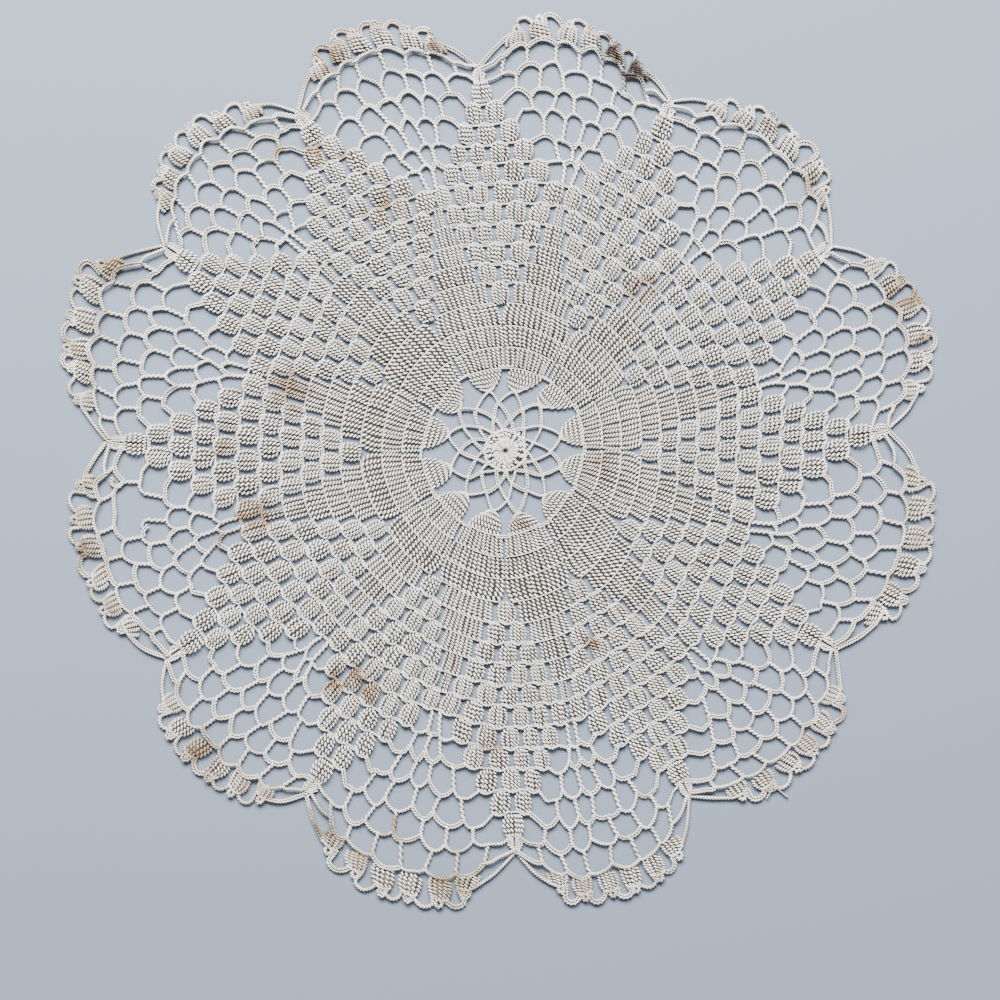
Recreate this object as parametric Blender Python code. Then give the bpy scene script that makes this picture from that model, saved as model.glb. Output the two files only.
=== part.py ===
# Crocheted lace doily: one flat openwork round with twelve scallops, laid on a table.
#
# The pattern is worked out round a centre rosette, in pattern sizes: a turn in degrees,
# counter-clockwise from +X, and a reach in millimetres from the centre. The real piece is
# hand-worked and lies unevenly, so LAY says how far each sector is turned and stretched,
# and place() lays the even pattern out that way.
# Frame: origin on the table under the middle of the rosette, +Z up out of the table.

import math
from collections import namedtuple

import bpy

MM = 0.001

# Driving sizes, in millimetres and degrees
THICKNESS = 1.8            # the sheet of stitches
CORD = 1.8                 # width of one crocheted chain cord
SECTORS = 12
SECTOR_TURN = 360.0 / SECTORS
HALF_SECTOR = SECTOR_TURN / 2

BLOCK_PITCH = 8.4          # one small solid block and the gap beside it
CENTRE_NET_REACH = 17.7    # joints of the centre net, where the star arms start
PETAL_ROOT_REACH = 22.1    # where the twelve petals spring from the centre net
PETAL_REACH = 29.9         # outer edge of the petals
SLIT_REACH = 50.4          # small openings between the solid fans
FAN_REACH = 98.0           # outer ends of the solid fans, where the net starts
VALLEY_REACH = 143.4       # deepest point between two scallops
CROWN_REACH = 163.5        # outermost point of a scallop

EDGE_BLOCK_WIDTH = 6.0
EDGE_BLOCK_HEIGHTS = (7.4, 8.8, 9.4, 9.4, 8.8, 7.4)     # the six blocks edging a scallop
EDGE_LOOP_RISE = 1.4       # how far a chain loop of the edging stands past the blocks
VALLEY_CORD_RISE = 2.2     # the cord that runs round the deepest point

WANDER = 0.45              # how far hand-worked stitches stray from their even places
WANDER_LENGTHS = (17.0, 29.0)

# The rounds of net. Each has two more cells than its number: cells, reach beside the
# blocks, reach in the middle of the scallop, blocks left beside it on the valley line.
NetRound = namedtuple("NetRound", "cells side_reach middle_reach blocks arch_rise")
NET_ROUNDS = (
    NetRound(cells=3, side_reach=105.9, middle_reach=106.9, blocks=5, arch_rise=2.2),
    NetRound(cells=4, side_reach=113.5, middle_reach=115.3, blocks=4, arch_rise=3.0),
    NetRound(cells=5, side_reach=121.7, middle_reach=125.2, blocks=3, arch_rise=3.2),
    NetRound(cells=6, side_reach=129.9, middle_reach=135.2, blocks=2, arch_rise=3.2),
    NetRound(cells=7, side_reach=138.3, middle_reach=144.2, blocks=1, arch_rise=3.0),
    NetRound(cells=8, side_reach=142.6, middle_reach=153.3, blocks=0, arch_rise=1.8),
)
TIP_BLOCK_WIDTH = 7.0      # the last block of each wedge, under the valley
TIP_CORD_WIDTH = 2.2       # the cords that close the valley, past that block
FIRST_CUT_ROUND = 2        # the net is cut through from its third round on

# How each sector lies. valley: the line between this sector and the one before it; fan:
# the end of its solid fan; crown: the top of its scallop; early and late: the scallop's
# two shoulders, the late one further round. A turn is degrees off the even pattern, and
# a stretch is times its reach.
Lay = namedtuple("Lay", "slit_turn slit valley_turn valley early fan_turn fan crown_turn crown late")
LAY = (
    Lay(-0.8, 0.942, 3.2, 0.966, 0.985, 0.0, 0.976, 3.0, 1.000, 0.985),
    Lay(-0.3, 0.971, 2.0, 0.977, 0.975, 2.0, 0.987, 4.0, 0.966, 0.955),
    Lay(1.3, 0.986, 4.9, 0.977, 0.955, 1.5, 1.013, 5.5, 0.972, 0.990),
    Lay(2.3, 1.029, 4.1, 0.978, 0.985, 0.5, 1.020, 3.6, 1.003, 1.012),
    Lay(0.0, 1.051, 1.7, 1.005, 1.010, -0.5, 1.054, 1.2, 1.020, 1.010),
    Lay(-0.3, 1.007, -1.3, 1.014, 1.050, -1.5, 1.017, -0.6, 1.020, 1.010),
    Lay(0.0, 1.007, -1.4, 1.007, 1.000, 0.0, 1.024, 0.0, 0.984, 0.992),
    Lay(1.0, 0.978, 1.2, 1.008, 1.010, 1.5, 0.983, 1.0, 0.998, 1.000),
    Lay(1.2, 1.000, 0.1, 1.003, 1.030, -0.5, 0.998, 1.0, 1.034, 1.045),
    Lay(0.6, 1.051, 1.4, 1.020, 1.040, -1.5, 1.050, 0.2, 1.027, 1.034),
    Lay(-2.0, 1.029, -1.6, 0.990, 0.980, -2.5, 1.006, -1.0, 0.973, 0.980),
    Lay(-2.2, 0.957, -1.2, 0.977, 0.970, -1.5, 0.965, 1.0, 0.975, 0.980),
)

# One torn place: cords between three cells of the net have broken, two cells of one round
# and the cell below and between them, and the three have run together.
TORN_SECTOR = 6
TORN_ROUND = 4
TORN_CELLS = (1, 2)

ARCH_CORNER = 3            # the corner at the top of a cell's arch, which is blunted
ARCH_BLUNT = 0.3


def ease(share):
    """Smooth step from 0 to 1."""
    return (1 - math.cos(math.pi * share)) / 2


def between(low, high, share):
    return low + (high - low) * share


def ring(turn, values, smooth):
    """Value at a turn, from values spaced evenly round the whole circle, the first at +X."""
    step = 360.0 / len(values)
    place_on_ring = (turn % 360.0) / step
    first = int(place_on_ring) % len(values)
    share = place_on_ring - int(place_on_ring)
    following = values[(first + 1) % len(values)]
    return between(values[first], following, ease(share) if smooth else share)


def stations():
    """Turn and stretch all round, at three reaches: slits, fan ends and outer edge."""
    slit_turns = [row.slit_turn for row in LAY]
    slits = [row.slit for row in LAY]
    fan_turns, fans, edge_turns, edges = [], [], [], []
    for row in LAY:
        fan_turns += [(row.slit_turn + row.valley_turn) / 2, row.fan_turn]
        fans += [(row.slit + row.valley) / 2, row.fan]
        edge_turns += [row.valley_turn, row.crown_turn]
        edges += [row.valley, row.early, row.crown, row.late]
    return slit_turns, slits, fan_turns, fans, edge_turns, edges


SLIT_TURNS, SLITS, FAN_TURNS, FANS, EDGE_TURNS, EDGES = stations()


def scallop_share(turn):
    """0 in the valleys between scallops, 1 on a scallop's middle line."""
    off_middle = (turn % SECTOR_TURN - HALF_SECTOR) / HALF_SECTOR
    return 1 - off_middle ** 2


def wander(across, along):
    """How far a stitch strays, in millimetres: slow waves, crossing."""
    short, long = WANDER_LENGTHS
    return WANDER * (math.sin(across / short + along / long) + math.sin(along / short))


def place(turn, reach):
    """Lay a point of the even pattern (degrees, millimetres) where the real piece has it."""
    edge_reach = between(VALLEY_REACH, CROWN_REACH, scallop_share(turn))
    slit = ring(turn, SLIT_TURNS, False), ring(turn, SLITS, True)
    fan = ring(turn, FAN_TURNS, False), ring(turn, FANS, True)
    edge = ring(turn, EDGE_TURNS, False), ring(turn, EDGES, True)
    if reach < SLIT_REACH:
        inner, outer, share = (0.0, slit[1]), slit, reach / SLIT_REACH
    elif reach < FAN_REACH:
        inner, outer, share = slit, fan, (reach - SLIT_REACH) / (FAN_REACH - SLIT_REACH)
    else:
        inner, outer, share = fan, edge, (reach - FAN_REACH) / (edge_reach - FAN_REACH)
    laid_turn = math.radians(turn + between(inner[0], outer[0], share))
    laid_reach = reach * between(inner[1], outer[1], share)
    x, y = laid_reach * math.cos(laid_turn), laid_reach * math.sin(laid_turn)
    return (x + wander(x, y)) * MM, (y + wander(-y, x)) * MM


def place_off(turn, reach, aside):
    """The same, for a point that lies aside, in millimetres, of the line at that turn."""
    return place(turn + math.degrees(aside / reach), reach)


def net_half_turn(net):
    """Half the turn that a round of net takes up, between the blocks on its two sides."""
    row_reach = net.side_reach - BLOCK_PITCH / 2
    if net.blocks > 1:
        blocks_width = net.blocks * BLOCK_PITCH
    else:
        blocks_width = TIP_BLOCK_WIDTH if net.blocks else TIP_CORD_WIDTH
    return HALF_SECTOR - math.degrees(blocks_width / 2 / row_reach)


def arch_top(net, turn_off_middle):
    """Reach of a round's chain arches at their highest, at a turn off the middle line."""
    share = 1 - (turn_off_middle / HALF_SECTOR) ** 2
    return between(net.side_reach, net.middle_reach, share)


def junction(net, joint):
    """Where two arches of a round meet on the cord below them, or the end of the round."""
    half_turn = net_half_turn(net)
    turn = -half_turn + 2 * half_turn / net.cells * joint
    drop = 0.0 if joint in (0, net.cells) else net.arch_rise
    return turn, arch_top(net, turn) - drop


def peak(net, cell):
    """The highest point of a cell's arch, which carries a cord of the next round."""
    half_turn = net_half_turn(net)
    turn = -half_turn + 2 * half_turn / net.cells * (cell + 0.5)
    return turn, arch_top(net, turn)


def cell_corners(round_index, cell):
    """Middle lines of the cords round a cell: foot, early side, top of the arch, late side."""
    net, below = NET_ROUNDS[round_index], NET_ROUNDS[round_index - 1]
    high_early, high_late = junction(net, cell), junction(net, cell + 1)
    if cell == 0:
        low_early = high_early[0], junction(below, 0)[1]
    else:
        low_early = peak(below, cell - 1)
    if cell == net.cells - 1:
        low_late = high_late[0], junction(below, below.cells)[1]
    else:
        low_late = peak(below, cell)
    return [junction(below, cell), low_early, high_early, peak(net, cell), high_late, low_late]


def drawn_in(corners, width):
    """A closed outline, counter-clockwise, with every side moved in by the given width."""
    sides = []
    for (x1, y1), (x2, y2) in zip(corners, corners[1:] + corners[:1]):
        length = math.hypot(x2 - x1, y2 - y1)
        inward = (y1 - y2) / length, (x2 - x1) / length
        sides.append((inward, inward[0] * x1 + inward[1] * y1 + width))
    moved = []
    for (before, offset_before), (after, offset_after) in zip(sides[-1:] + sides[:-1], sides):
        cross = before[0] * after[1] - before[1] * after[0]
        moved.append((
            (offset_before * after[1] - offset_after * before[1]) / cross,
            (before[0] * offset_after - after[0] * offset_before) / cross,
        ))
    return moved


def halfway(first, second):
    return (first[0] + second[0]) / 2, (first[1] + second[1]) / 2


def blunted(corners, corner, share):
    """The same outline with one corner cut off, a share of the way along its two sides."""
    (x, y), before, after = corners[corner], corners[corner - 1], corners[corner + 1]
    cut = [
        (between(x, before[0], share), between(y, before[1], share)),
        (between(x, after[0], share), between(y, after[1], share)),
    ]
    return corners[:corner] + cut + corners[corner + 1:]


def laid(sector, corners):
    """Corners given off a sector's middle line, laid where the real piece has them."""
    middle_line = sector * SECTOR_TURN + HALF_SECTOR
    return [place(middle_line + turn, reach) for turn, reach in corners]


def is_torn(sector, round_index, cell):
    if sector != TORN_SECTOR:
        return False
    low_cell = TORN_CELLS[0]
    return round_index == TORN_ROUND and cell in TORN_CELLS or (
        (round_index, cell) == (TORN_ROUND - 1, low_cell))


def net_openings(sector):
    """Openings of the cells that are cut through in one sector, half a cord in all round.

    Over the torn place the arches have lost their joint, and the next round hangs straight.
    """
    openings = []
    for round_index in range(FIRST_CUT_ROUND, len(NET_ROUNDS)):
        cells = range(NET_ROUNDS[round_index].cells)
        if round_index == len(NET_ROUNDS) - 1:
            cells = cells[1:-1]
        for cell in cells:
            if is_torn(sector, round_index, cell):
                continue
            corners = cell_corners(round_index, cell)
            if (sector, round_index, cell) == (TORN_SECTOR, TORN_ROUND + 1, TORN_CELLS[1]):
                corners[0] = halfway(corners[1], corners[-1])
            opening = drawn_in(laid(sector, corners), CORD / 2 * MM)
            openings.append(blunted(opening, ARCH_CORNER, ARCH_BLUNT))
    return openings


def torn_opening():
    """The wide opening of the torn place, round the three cells that have run together."""
    early, late = (cell_corners(TORN_ROUND, cell) for cell in TORN_CELLS)
    low = cell_corners(TORN_ROUND - 1, TORN_CELLS[0])
    corners = low[:2] + early[:4] + late[3:] + [late[0], low[-1]]
    return drawn_in(laid(TORN_SECTOR, corners), CORD / 2 * MM)


def star_arm(sector):
    """The gap between two petals, from the centre net out to its narrow end."""
    turn = sector * SECTOR_TURN
    foot = (0.0, CENTRE_NET_REACH + CORD * 0.6)
    widest = (4.3, PETAL_ROOT_REACH + 0.2)
    waist = (3.0, between(PETAL_ROOT_REACH, PETAL_REACH, 0.5))
    tip = (1.5, PETAL_REACH - 0.2)
    left = (widest, waist, tip)
    right = tuple((-aside, reach) for aside, reach in reversed(left))
    return [place_off(turn, reach, aside) for aside, reach in (foot,) + left + right]


def scallop_edge(sector):
    """Outer edge of one scallop: its valley, then blocks and chain loops by turns."""
    valley_turn = sector * SECTOR_TURN
    middle_line = valley_turn + HALF_SECTOR
    net = NET_ROUNDS[-1]
    pitch = 2 * net_half_turn(net) / net.cells
    edge = [place(valley_turn, VALLEY_REACH + VALLEY_CORD_RISE)]
    last = len(EDGE_BLOCK_HEIGHTS) - 1
    for block, height in enumerate(EDGE_BLOCK_HEIGHTS):
        off_middle = pitch * (block - last / 2)
        turn = middle_line + off_middle
        top = arch_top(net, off_middle) + height
        half = EDGE_BLOCK_WIDTH / 2
        edge.append(place_off(turn, top - 1.2, -half))
        edge.append(place_off(turn, top + 0.9, 0.0))
        edge.append(place_off(turn, top - 1.2, half))
        if block < last:
            loop_off = off_middle + pitch / 2
            height = (height + EDGE_BLOCK_HEIGHTS[block + 1]) / 2
            loop_top = arch_top(net, loop_off) + height + EDGE_LOOP_RISE
            edge.append(place_off(middle_line + loop_off, loop_top, -0.9))
            edge.append(place_off(middle_line + loop_off, loop_top, 0.9))
    return edge


def add_outline(curve, corners):
    """Add one closed outline to a flat curve."""
    spline = curve.splines.new("POLY")
    spline.points.add(len(corners) - 1)
    for point, (x, y) in zip(spline.points, corners):
        point.co = (x, y, 0.0, 1.0)
    spline.use_cyclic_u = True


def cotton():
    """Undyed crochet cotton, greyed and matt."""
    material = bpy.data.materials.new("crochet_cotton")
    material.use_nodes = True
    shader = material.node_tree.nodes["Principled BSDF"]
    shader.inputs["Base Color"].default_value = (0.55, 0.50, 0.44, 1.0)
    shader.inputs["Roughness"].default_value = 0.9
    shader.inputs["Metallic"].default_value = 0.0
    return material


def doily(collection):
    """The whole lace as one flat sheet, cut through at its larger openings."""
    curve = bpy.data.curves.new("doily", "CURVE")
    curve.dimensions = "2D"
    curve.fill_mode = "BOTH"
    curve.extrude = THICKNESS / 2 * MM
    edge = []
    for sector in range(SECTORS):
        edge += scallop_edge(sector)
    add_outline(curve, edge)
    for sector in range(SECTORS):
        add_outline(curve, star_arm(sector))
        for opening in net_openings(sector):
            add_outline(curve, opening)
    add_outline(curve, torn_opening())
    curve.materials.append(cotton())
    sheet = bpy.data.objects.new("doily", curve)
    sheet.location.z = THICKNESS / 2 * MM
    collection.objects.link(sheet)
    return sheet


def main():
    for old in list(bpy.data.objects):
        bpy.data.objects.remove(old, do_unlink=True)
    collection = bpy.data.collections.new("lace_doily")
    bpy.context.scene.collection.children.link(collection)
    doily(collection)


main()
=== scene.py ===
# %% [markdown]
# # A crocheted lace doily, stitch by stitch
#
# The real doily is worked round and round from the middle with one cotton thread and one
# hook. Solid parts are rows of tall stitches (trebles) side by side, and the net is made of
# plain chain cords. It lies flat on a table, a little uneven, because hands made it.
#
# The solid model holds its size and outline as one flat sheet with the larger openings cut
# through. Here every stitch is laid on that sheet's own layout. Displacing a flat plane
# would never give loops that stand free, so the stitches are real meshes.

import math
from collections import namedtuple

import bpy
import numpy as np
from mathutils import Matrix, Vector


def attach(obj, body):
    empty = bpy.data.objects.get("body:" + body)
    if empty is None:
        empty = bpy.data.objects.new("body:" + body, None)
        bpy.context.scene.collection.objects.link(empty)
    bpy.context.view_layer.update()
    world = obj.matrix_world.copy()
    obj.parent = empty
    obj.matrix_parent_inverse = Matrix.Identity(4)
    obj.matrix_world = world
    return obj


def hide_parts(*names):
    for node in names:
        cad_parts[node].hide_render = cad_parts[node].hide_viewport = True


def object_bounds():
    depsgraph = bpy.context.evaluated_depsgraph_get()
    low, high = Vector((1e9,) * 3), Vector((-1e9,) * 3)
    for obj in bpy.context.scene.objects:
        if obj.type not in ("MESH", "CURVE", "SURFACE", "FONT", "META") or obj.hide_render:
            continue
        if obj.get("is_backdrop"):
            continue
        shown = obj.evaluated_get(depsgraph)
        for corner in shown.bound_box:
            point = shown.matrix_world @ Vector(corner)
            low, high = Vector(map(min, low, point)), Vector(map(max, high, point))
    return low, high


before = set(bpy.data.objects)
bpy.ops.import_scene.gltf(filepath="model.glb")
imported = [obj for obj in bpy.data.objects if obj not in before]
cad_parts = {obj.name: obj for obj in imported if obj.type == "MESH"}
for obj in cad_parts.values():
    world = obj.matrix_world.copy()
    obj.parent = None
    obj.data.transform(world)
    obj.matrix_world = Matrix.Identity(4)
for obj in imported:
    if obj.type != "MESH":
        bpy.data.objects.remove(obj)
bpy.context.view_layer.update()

# %% [markdown]
# ## The pattern's even sizes
#
# A crochet pattern is written in rounds. Each point here has a turn in degrees, counted
# counter-clockwise from +X, and a reach in millimetres from the centre. There are twelve
# equal sectors. The numbers repeat those of the solid model, so both lie alike.

# %% Sizes shared with the solid model, in millimetres and degrees
MM = 0.001
SECTORS = 12
SECTOR_TURN = 360.0 / SECTORS
HALF_SECTOR = SECTOR_TURN / 2
BLOCK_PITCH = 8.4
SLIT_REACH = 50.4  # where the solid rounds end,
FAN_REACH = 98.0  # the fans,
VALLEY_REACH = 143.4  # the valleys between scallops
CROWN_REACH = 163.5  # and the scallops' own crowns
EDGE_BLOCK_HEIGHTS = (7.4, 8.8, 9.4, 9.4, 8.8, 7.4)
VALLEY_CORD_RISE = 2.2
WANDER = 0.45  # how far stitches stray in slow waves,
WANDER_LENGTHS = (17.0, 29.0)  # and the lengths of those waves
TIP_BLOCK_WIDTH = 7.0  # the last block under a valley,
TIP_CORD_WIDTH = 2.2  # and the cords past it

NetRound = namedtuple("NetRound", "cells side_reach middle_reach blocks arch_rise")
NET_ROUNDS = (
    NetRound(3, 105.9, 106.9, 5, 2.2),
    NetRound(4, 113.5, 115.3, 4, 3.0),
    NetRound(5, 121.7, 125.2, 3, 3.2),
    NetRound(6, 129.9, 135.2, 2, 3.2),
    NetRound(7, 138.3, 144.2, 1, 3.0),
    NetRound(8, 142.6, 153.3, 0, 1.8),
)
TORN_SECTOR, TORN_ROUND, TORN_CELLS = 6, 4, (1, 2)

# %% How each sector lies: turned by degrees and stretched by a share, at three reaches
Lay = namedtuple("Lay", "slit_turn slit valley_turn valley early fan_turn fan crown_turn crown late")
LAY = (
    Lay(-0.8, 0.942, 3.2, 0.966, 0.985, 0.0, 0.976, 3.0, 1.000, 0.985),
    Lay(-0.3, 0.971, 2.0, 0.977, 0.975, 2.0, 0.987, 4.0, 0.966, 0.955),
    Lay(1.3, 0.986, 4.9, 0.977, 0.955, 1.5, 1.013, 5.5, 0.972, 0.990),
    Lay(2.3, 1.029, 4.1, 0.978, 0.985, 0.5, 1.020, 3.6, 1.003, 1.012),
    Lay(0.0, 1.051, 1.7, 1.005, 1.010, -0.5, 1.054, 1.2, 1.020, 1.010),
    Lay(-0.3, 1.007, -1.3, 1.014, 1.050, -1.5, 1.017, -0.6, 1.020, 1.010),
    Lay(0.0, 1.007, -1.4, 1.007, 1.000, 0.0, 1.024, 0.0, 0.984, 0.992),
    Lay(1.0, 0.978, 1.2, 1.008, 1.010, 1.5, 0.983, 1.0, 0.998, 1.000),
    Lay(1.2, 1.000, 0.1, 1.003, 1.030, -0.5, 0.998, 1.0, 1.034, 1.045),
    Lay(0.6, 1.051, 1.4, 1.020, 1.040, -1.5, 1.050, 0.2, 1.027, 1.034),
    Lay(-2.0, 1.029, -1.6, 0.990, 0.980, -2.5, 1.006, -1.0, 0.973, 0.980),
    Lay(-2.2, 0.957, -1.2, 0.977, 0.970, -1.5, 0.965, 1.0, 0.975, 0.980),
)


# %% Lay a point of the even pattern on that lay
def between(low, high, share):
    return low + (high - low) * share


def ring(turn, values, smooth):
    """Value at a turn, from values spaced evenly round the circle, the first at +X."""
    step = 360.0 / len(values)
    place_on_ring = (turn % 360.0) / step
    first = int(place_on_ring) % len(values)
    share = place_on_ring - int(place_on_ring)
    if smooth:
        share = (1 - math.cos(math.pi * share)) / 2
    return between(values[first], values[(first + 1) % len(values)], share)


SLIT_TURNS = [row.slit_turn for row in LAY]
SLITS = [row.slit for row in LAY]
FAN_TURNS, FANS, EDGE_TURNS, EDGES = [], [], [], []
for row in LAY:
    FAN_TURNS += [(row.slit_turn + row.valley_turn) / 2, row.fan_turn]
    FANS += [(row.slit + row.valley) / 2, row.fan]
    EDGE_TURNS += [row.valley_turn, row.crown_turn]
    EDGES += [row.valley, row.early, row.crown, row.late]


def wander(across, along):
    """How far a stitch strays: slow waves, crossing."""
    short, long = WANDER_LENGTHS
    return WANDER * (math.sin(across / short + along / long) + math.sin(along / short))


def middle_of(sector):
    """The turn of a sector's middle line."""
    return sector * SECTOR_TURN + HALF_SECTOR


def place(turn, reach):
    """Lay a point of the even pattern where the real piece has it, in millimetres."""
    off_middle = (turn % SECTOR_TURN - HALF_SECTOR) / HALF_SECTOR
    edge_reach = between(VALLEY_REACH, CROWN_REACH, 1 - off_middle ** 2)
    slit = ring(turn, SLIT_TURNS, False), ring(turn, SLITS, True)
    fan = ring(turn, FAN_TURNS, False), ring(turn, FANS, True)
    edge = ring(turn, EDGE_TURNS, False), ring(turn, EDGES, True)
    if reach < SLIT_REACH:
        inner, outer, share = (0.0, slit[1]), slit, reach / SLIT_REACH
    elif reach < FAN_REACH:
        inner, outer, share = slit, fan, (reach - SLIT_REACH) / (FAN_REACH - SLIT_REACH)
    else:
        inner, outer, share = fan, edge, (reach - FAN_REACH) / (edge_reach - FAN_REACH)
    laid_turn = math.radians(turn + between(inner[0], outer[0], share))
    laid_reach = reach * between(inner[1], outer[1], share)
    x, y = laid_reach * math.cos(laid_turn), laid_reach * math.sin(laid_turn)
    return x + wander(x, y), y + wander(-y, x)


print("the first valleys lie at", [tuple(round(v) for v in place(SECTOR_TURN * k, VALLEY_REACH))
                                   for k in range(3)])

# %% [markdown]
# ## One turn of thread, and the three stitches
#
# What the eye sees of a stitch is a few short turns of thread, each fat in the middle and
# diving under its neighbour at both ends, like a grain of rice. So one grain is modelled
# from a small sphere, and each stitch is a few grains: a treble is a post of leaning turns,
# and a chain stitch is two legs that form a V. The turns of neighbouring posts meet, which
# draws fine slanting lines across a row. There are thousands of stitches, so a grain has
# only fifteen faces.

# %% Model a grain of thread
random = np.random.default_rng(12)
THREAD = 0.84  # thickness of the thread where it is fattest
GRAIN_SIDES = 5
MIDDLE_WIDTH = math.sin(math.radians(60))  # of a sphere, where its two rings of points lie
MIDDLE_LIT, LIT_RISE = 0.55, 0.45  # how lit a grain is halfway up, and how much more on top


def stray(most, count=None):
    """A random step, or several, of at most this much either way."""
    return random.uniform(-most, most, count)


def nothing_selected():
    bpy.ops.object.select_all(action="DESELECT")


def turned(degrees, axis):
    """Turn what is selected in edit mode about the origin, counter-clockwise."""
    bpy.ops.transform.rotate(
        value=-math.radians(degrees), orient_axis=axis, center_override=(0, 0, 0))


def grain(long, wide, tall, lean=0.0, aside=0.0, along=0.0, up=0.0, tip=0.0):
    """One visible turn of thread, along Y, leaning towards -X as it goes. tip: how lit its ends are."""
    nothing_selected()
    bpy.ops.mesh.primitive_uv_sphere_add(
        segments=GRAIN_SIDES, ring_count=3, radius=0.5 * MM, location=(0, 0, 0))
    shape = bpy.context.object
    bpy.ops.object.mode_set(mode="EDIT")
    bpy.ops.mesh.select_all(action="SELECT")
    turned(90, "Z")
    turned(90, "X")
    bpy.ops.transform.resize(value=(wide / MIDDLE_WIDTH, long, tall / MIDDLE_WIDTH),
                             center_override=(0, 0, 0))
    turned(lean, "Z")
    bpy.ops.transform.translate(value=(aside * MM, along * MM, up * MM))
    bpy.ops.object.mode_set(mode="OBJECT")
    # Painted light and shade: a point is painted lighter the higher it stands on the turn, and the two
    # tips, where the turn dives under, get the tip value.
    crest = shape.data.attributes.new("crest", "FLOAT", "POINT")
    middle = up * MM
    tips = {min(shape.data.vertices, key=lambda v: v.co.y).index,
            max(shape.data.vertices, key=lambda v: v.co.y).index}
    for point in shape.data.vertices:
        lit = MIDDLE_LIT + LIT_RISE * (point.co.z - middle) / (tall / 2 * MM)
        crest.data[point.index].value = tip if point.index in tips else lit
    return shape


def joined(shapes, name):
    """One object made of several."""
    nothing_selected()
    for shape in shapes:
        shape.select_set(True)
    bpy.context.view_layer.objects.active = shapes[0]
    bpy.ops.object.join()
    bpy.context.object.name = name
    return bpy.context.object


# %% Model the stitches, at their real size
Pattern = namedtuple("Pattern", "points corners sides crest")


def pattern(stitch, width, length):
    """A stitch's mesh as arrays, with X in widths, Y in lengths and Z in millimetres."""
    mesh = stitch.data
    points = np.array([point.co[:] for point in mesh.vertices]) / MM / (width, length, 1.0)
    corners = np.array([loop.vertex_index for loop in mesh.loops])
    sides = np.array([face.loop_total for face in mesh.polygons])
    crest = np.array([value.value for value in mesh.attributes["crest"].data])
    bpy.data.objects.remove(stitch, do_unlink=True)
    return Pattern(points, corners, sides, crest)


POST_WIDTH, POST_HEIGHT = 1.5, 7.6
TURN_TALL = 1.25  # a turn of thread rises higher than it is wide
TURN_LONG = 1.5  # and on a post it is longer than the post is wide, as a share
CHAIN_WIDTH, CHAIN_LENGTH = 1.5, 2.1
CHAIN_TURNS = (0.52, 1.57)  # where the turns of a chain stitch lie along it

# Posts worked loose or tight. Their lean puts the turns of neighbouring posts in line.
Post = namedtuple("Post", "kind turns height lean thread tip")
POSTS = (
    Post("post", 5, POST_HEIGHT, 44.0, THREAD, 0.0),
    Post("tight_post", 6, POST_HEIGHT, 49.0, THREAD * 0.9, 0.0),
    Post("short_post", 3, POST_HEIGHT / 2, 44.0, THREAD, 0.0),
    Post("leg", 4, 5.0, 32.0, THREAD, 0.2),
)

PATTERNS = {}
for post in POSTS:
    grains = [grain(long=POST_WIDTH * TURN_LONG, wide=post.thread, tall=TURN_TALL, lean=post.lean,
                    along=(n + 0.5) * (post.height / post.turns), tip=post.tip)
              for n in range(post.turns)]
    PATTERNS[post.kind] = pattern(joined(grains, post.kind), POST_WIDTH, post.height)
face = [grain(long=1.6, wide=0.62, tall=TURN_TALL, lean=24 * side, aside=0.4 * side, along=along)
        for along in CHAIN_TURNS for side in (1, -1)]
PATTERNS["chain"] = pattern(joined(face, "chain"), CHAIN_WIDTH, CHAIN_LENGTH)
flank = [grain(long=2.15, wide=0.76, tall=TURN_TALL, lean=36, along=along) for along in CHAIN_TURNS]
PATTERNS["side_chain"] = pattern(joined(flank, "side_chain"), CHAIN_WIDTH, CHAIN_LENGTH)
for name, made in PATTERNS.items():
    print(name, "has", len(made.sides), "faces and", (made.sides - 2).sum(), "triangles")

# %% [markdown]
# ## Laying stitches
#
# A stitch bends to follow its own short path: a foot, a middle and a top. Its mesh is bent
# along the curve through those three points and drawn in or out to three widths. All the
# stitches of one kind go through the same arrays, which takes no time for thousands.

# %% Bend stitches along their paths
Stitch = namedtuple("Stitch", "kind foot middle top widths roll height")
MID_HEIGHT = 0.86  # middle of the thread above the table
LOWEST = 0.02  # a piece that dips lower is lifted this far above the table
PIECES = {}


def lay(piece, kind, foot, middle, top, widths, roll=0.0, height=1.0):
    """Note one stitch of a piece. Its mesh is made when the piece is sewn."""
    PIECES.setdefault(piece, []).append(Stitch(kind, foot, middle, top, widths, roll, height))


def through(values, share):
    """Value at a share along a curve that passes through three values."""
    first, second, third = values
    return (first * (1 - share) * (1 - 2 * share) + second * 4 * share * (1 - share)
            + third * share * (2 * share - 1))


def slope_through(values, share):
    """How that curve runs on at the share."""
    first, second, third = values
    return first * (4 * share - 3) + second * (4 - 8 * share) + third * (4 * share - 1)


def unit(vectors):
    return vectors / np.linalg.norm(vectors, axis=-1, keepdims=True)


def bent(made, stitches):
    """Every point of a pattern, for every stitch of that kind."""
    path = [np.array([getattr(s, part) for s in stitches])[:, None, :]
            for part in ("foot", "middle", "top")]
    widths = [np.array([s.widths[n] for s in stitches])[:, None, None] for n in range(3)]
    roll = np.radians([s.roll for s in stitches])[:, None, None]
    tall = np.array([s.height for s in stitches])[:, None, None]
    x, y, z = (made.points[None, :, n, None] for n in range(3))
    forward = unit(slope_through(path, y))
    side = unit(np.cross(forward, (0.0, 0.0, 1.0)))
    upward = np.cross(side, forward)
    rolled_side = side * np.cos(roll) + upward * np.sin(roll)
    rolled_up = upward * np.cos(roll) - side * np.sin(roll)
    return through(path, y) + rolled_side * x * through(widths, y) + rolled_up * z * tall


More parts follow.
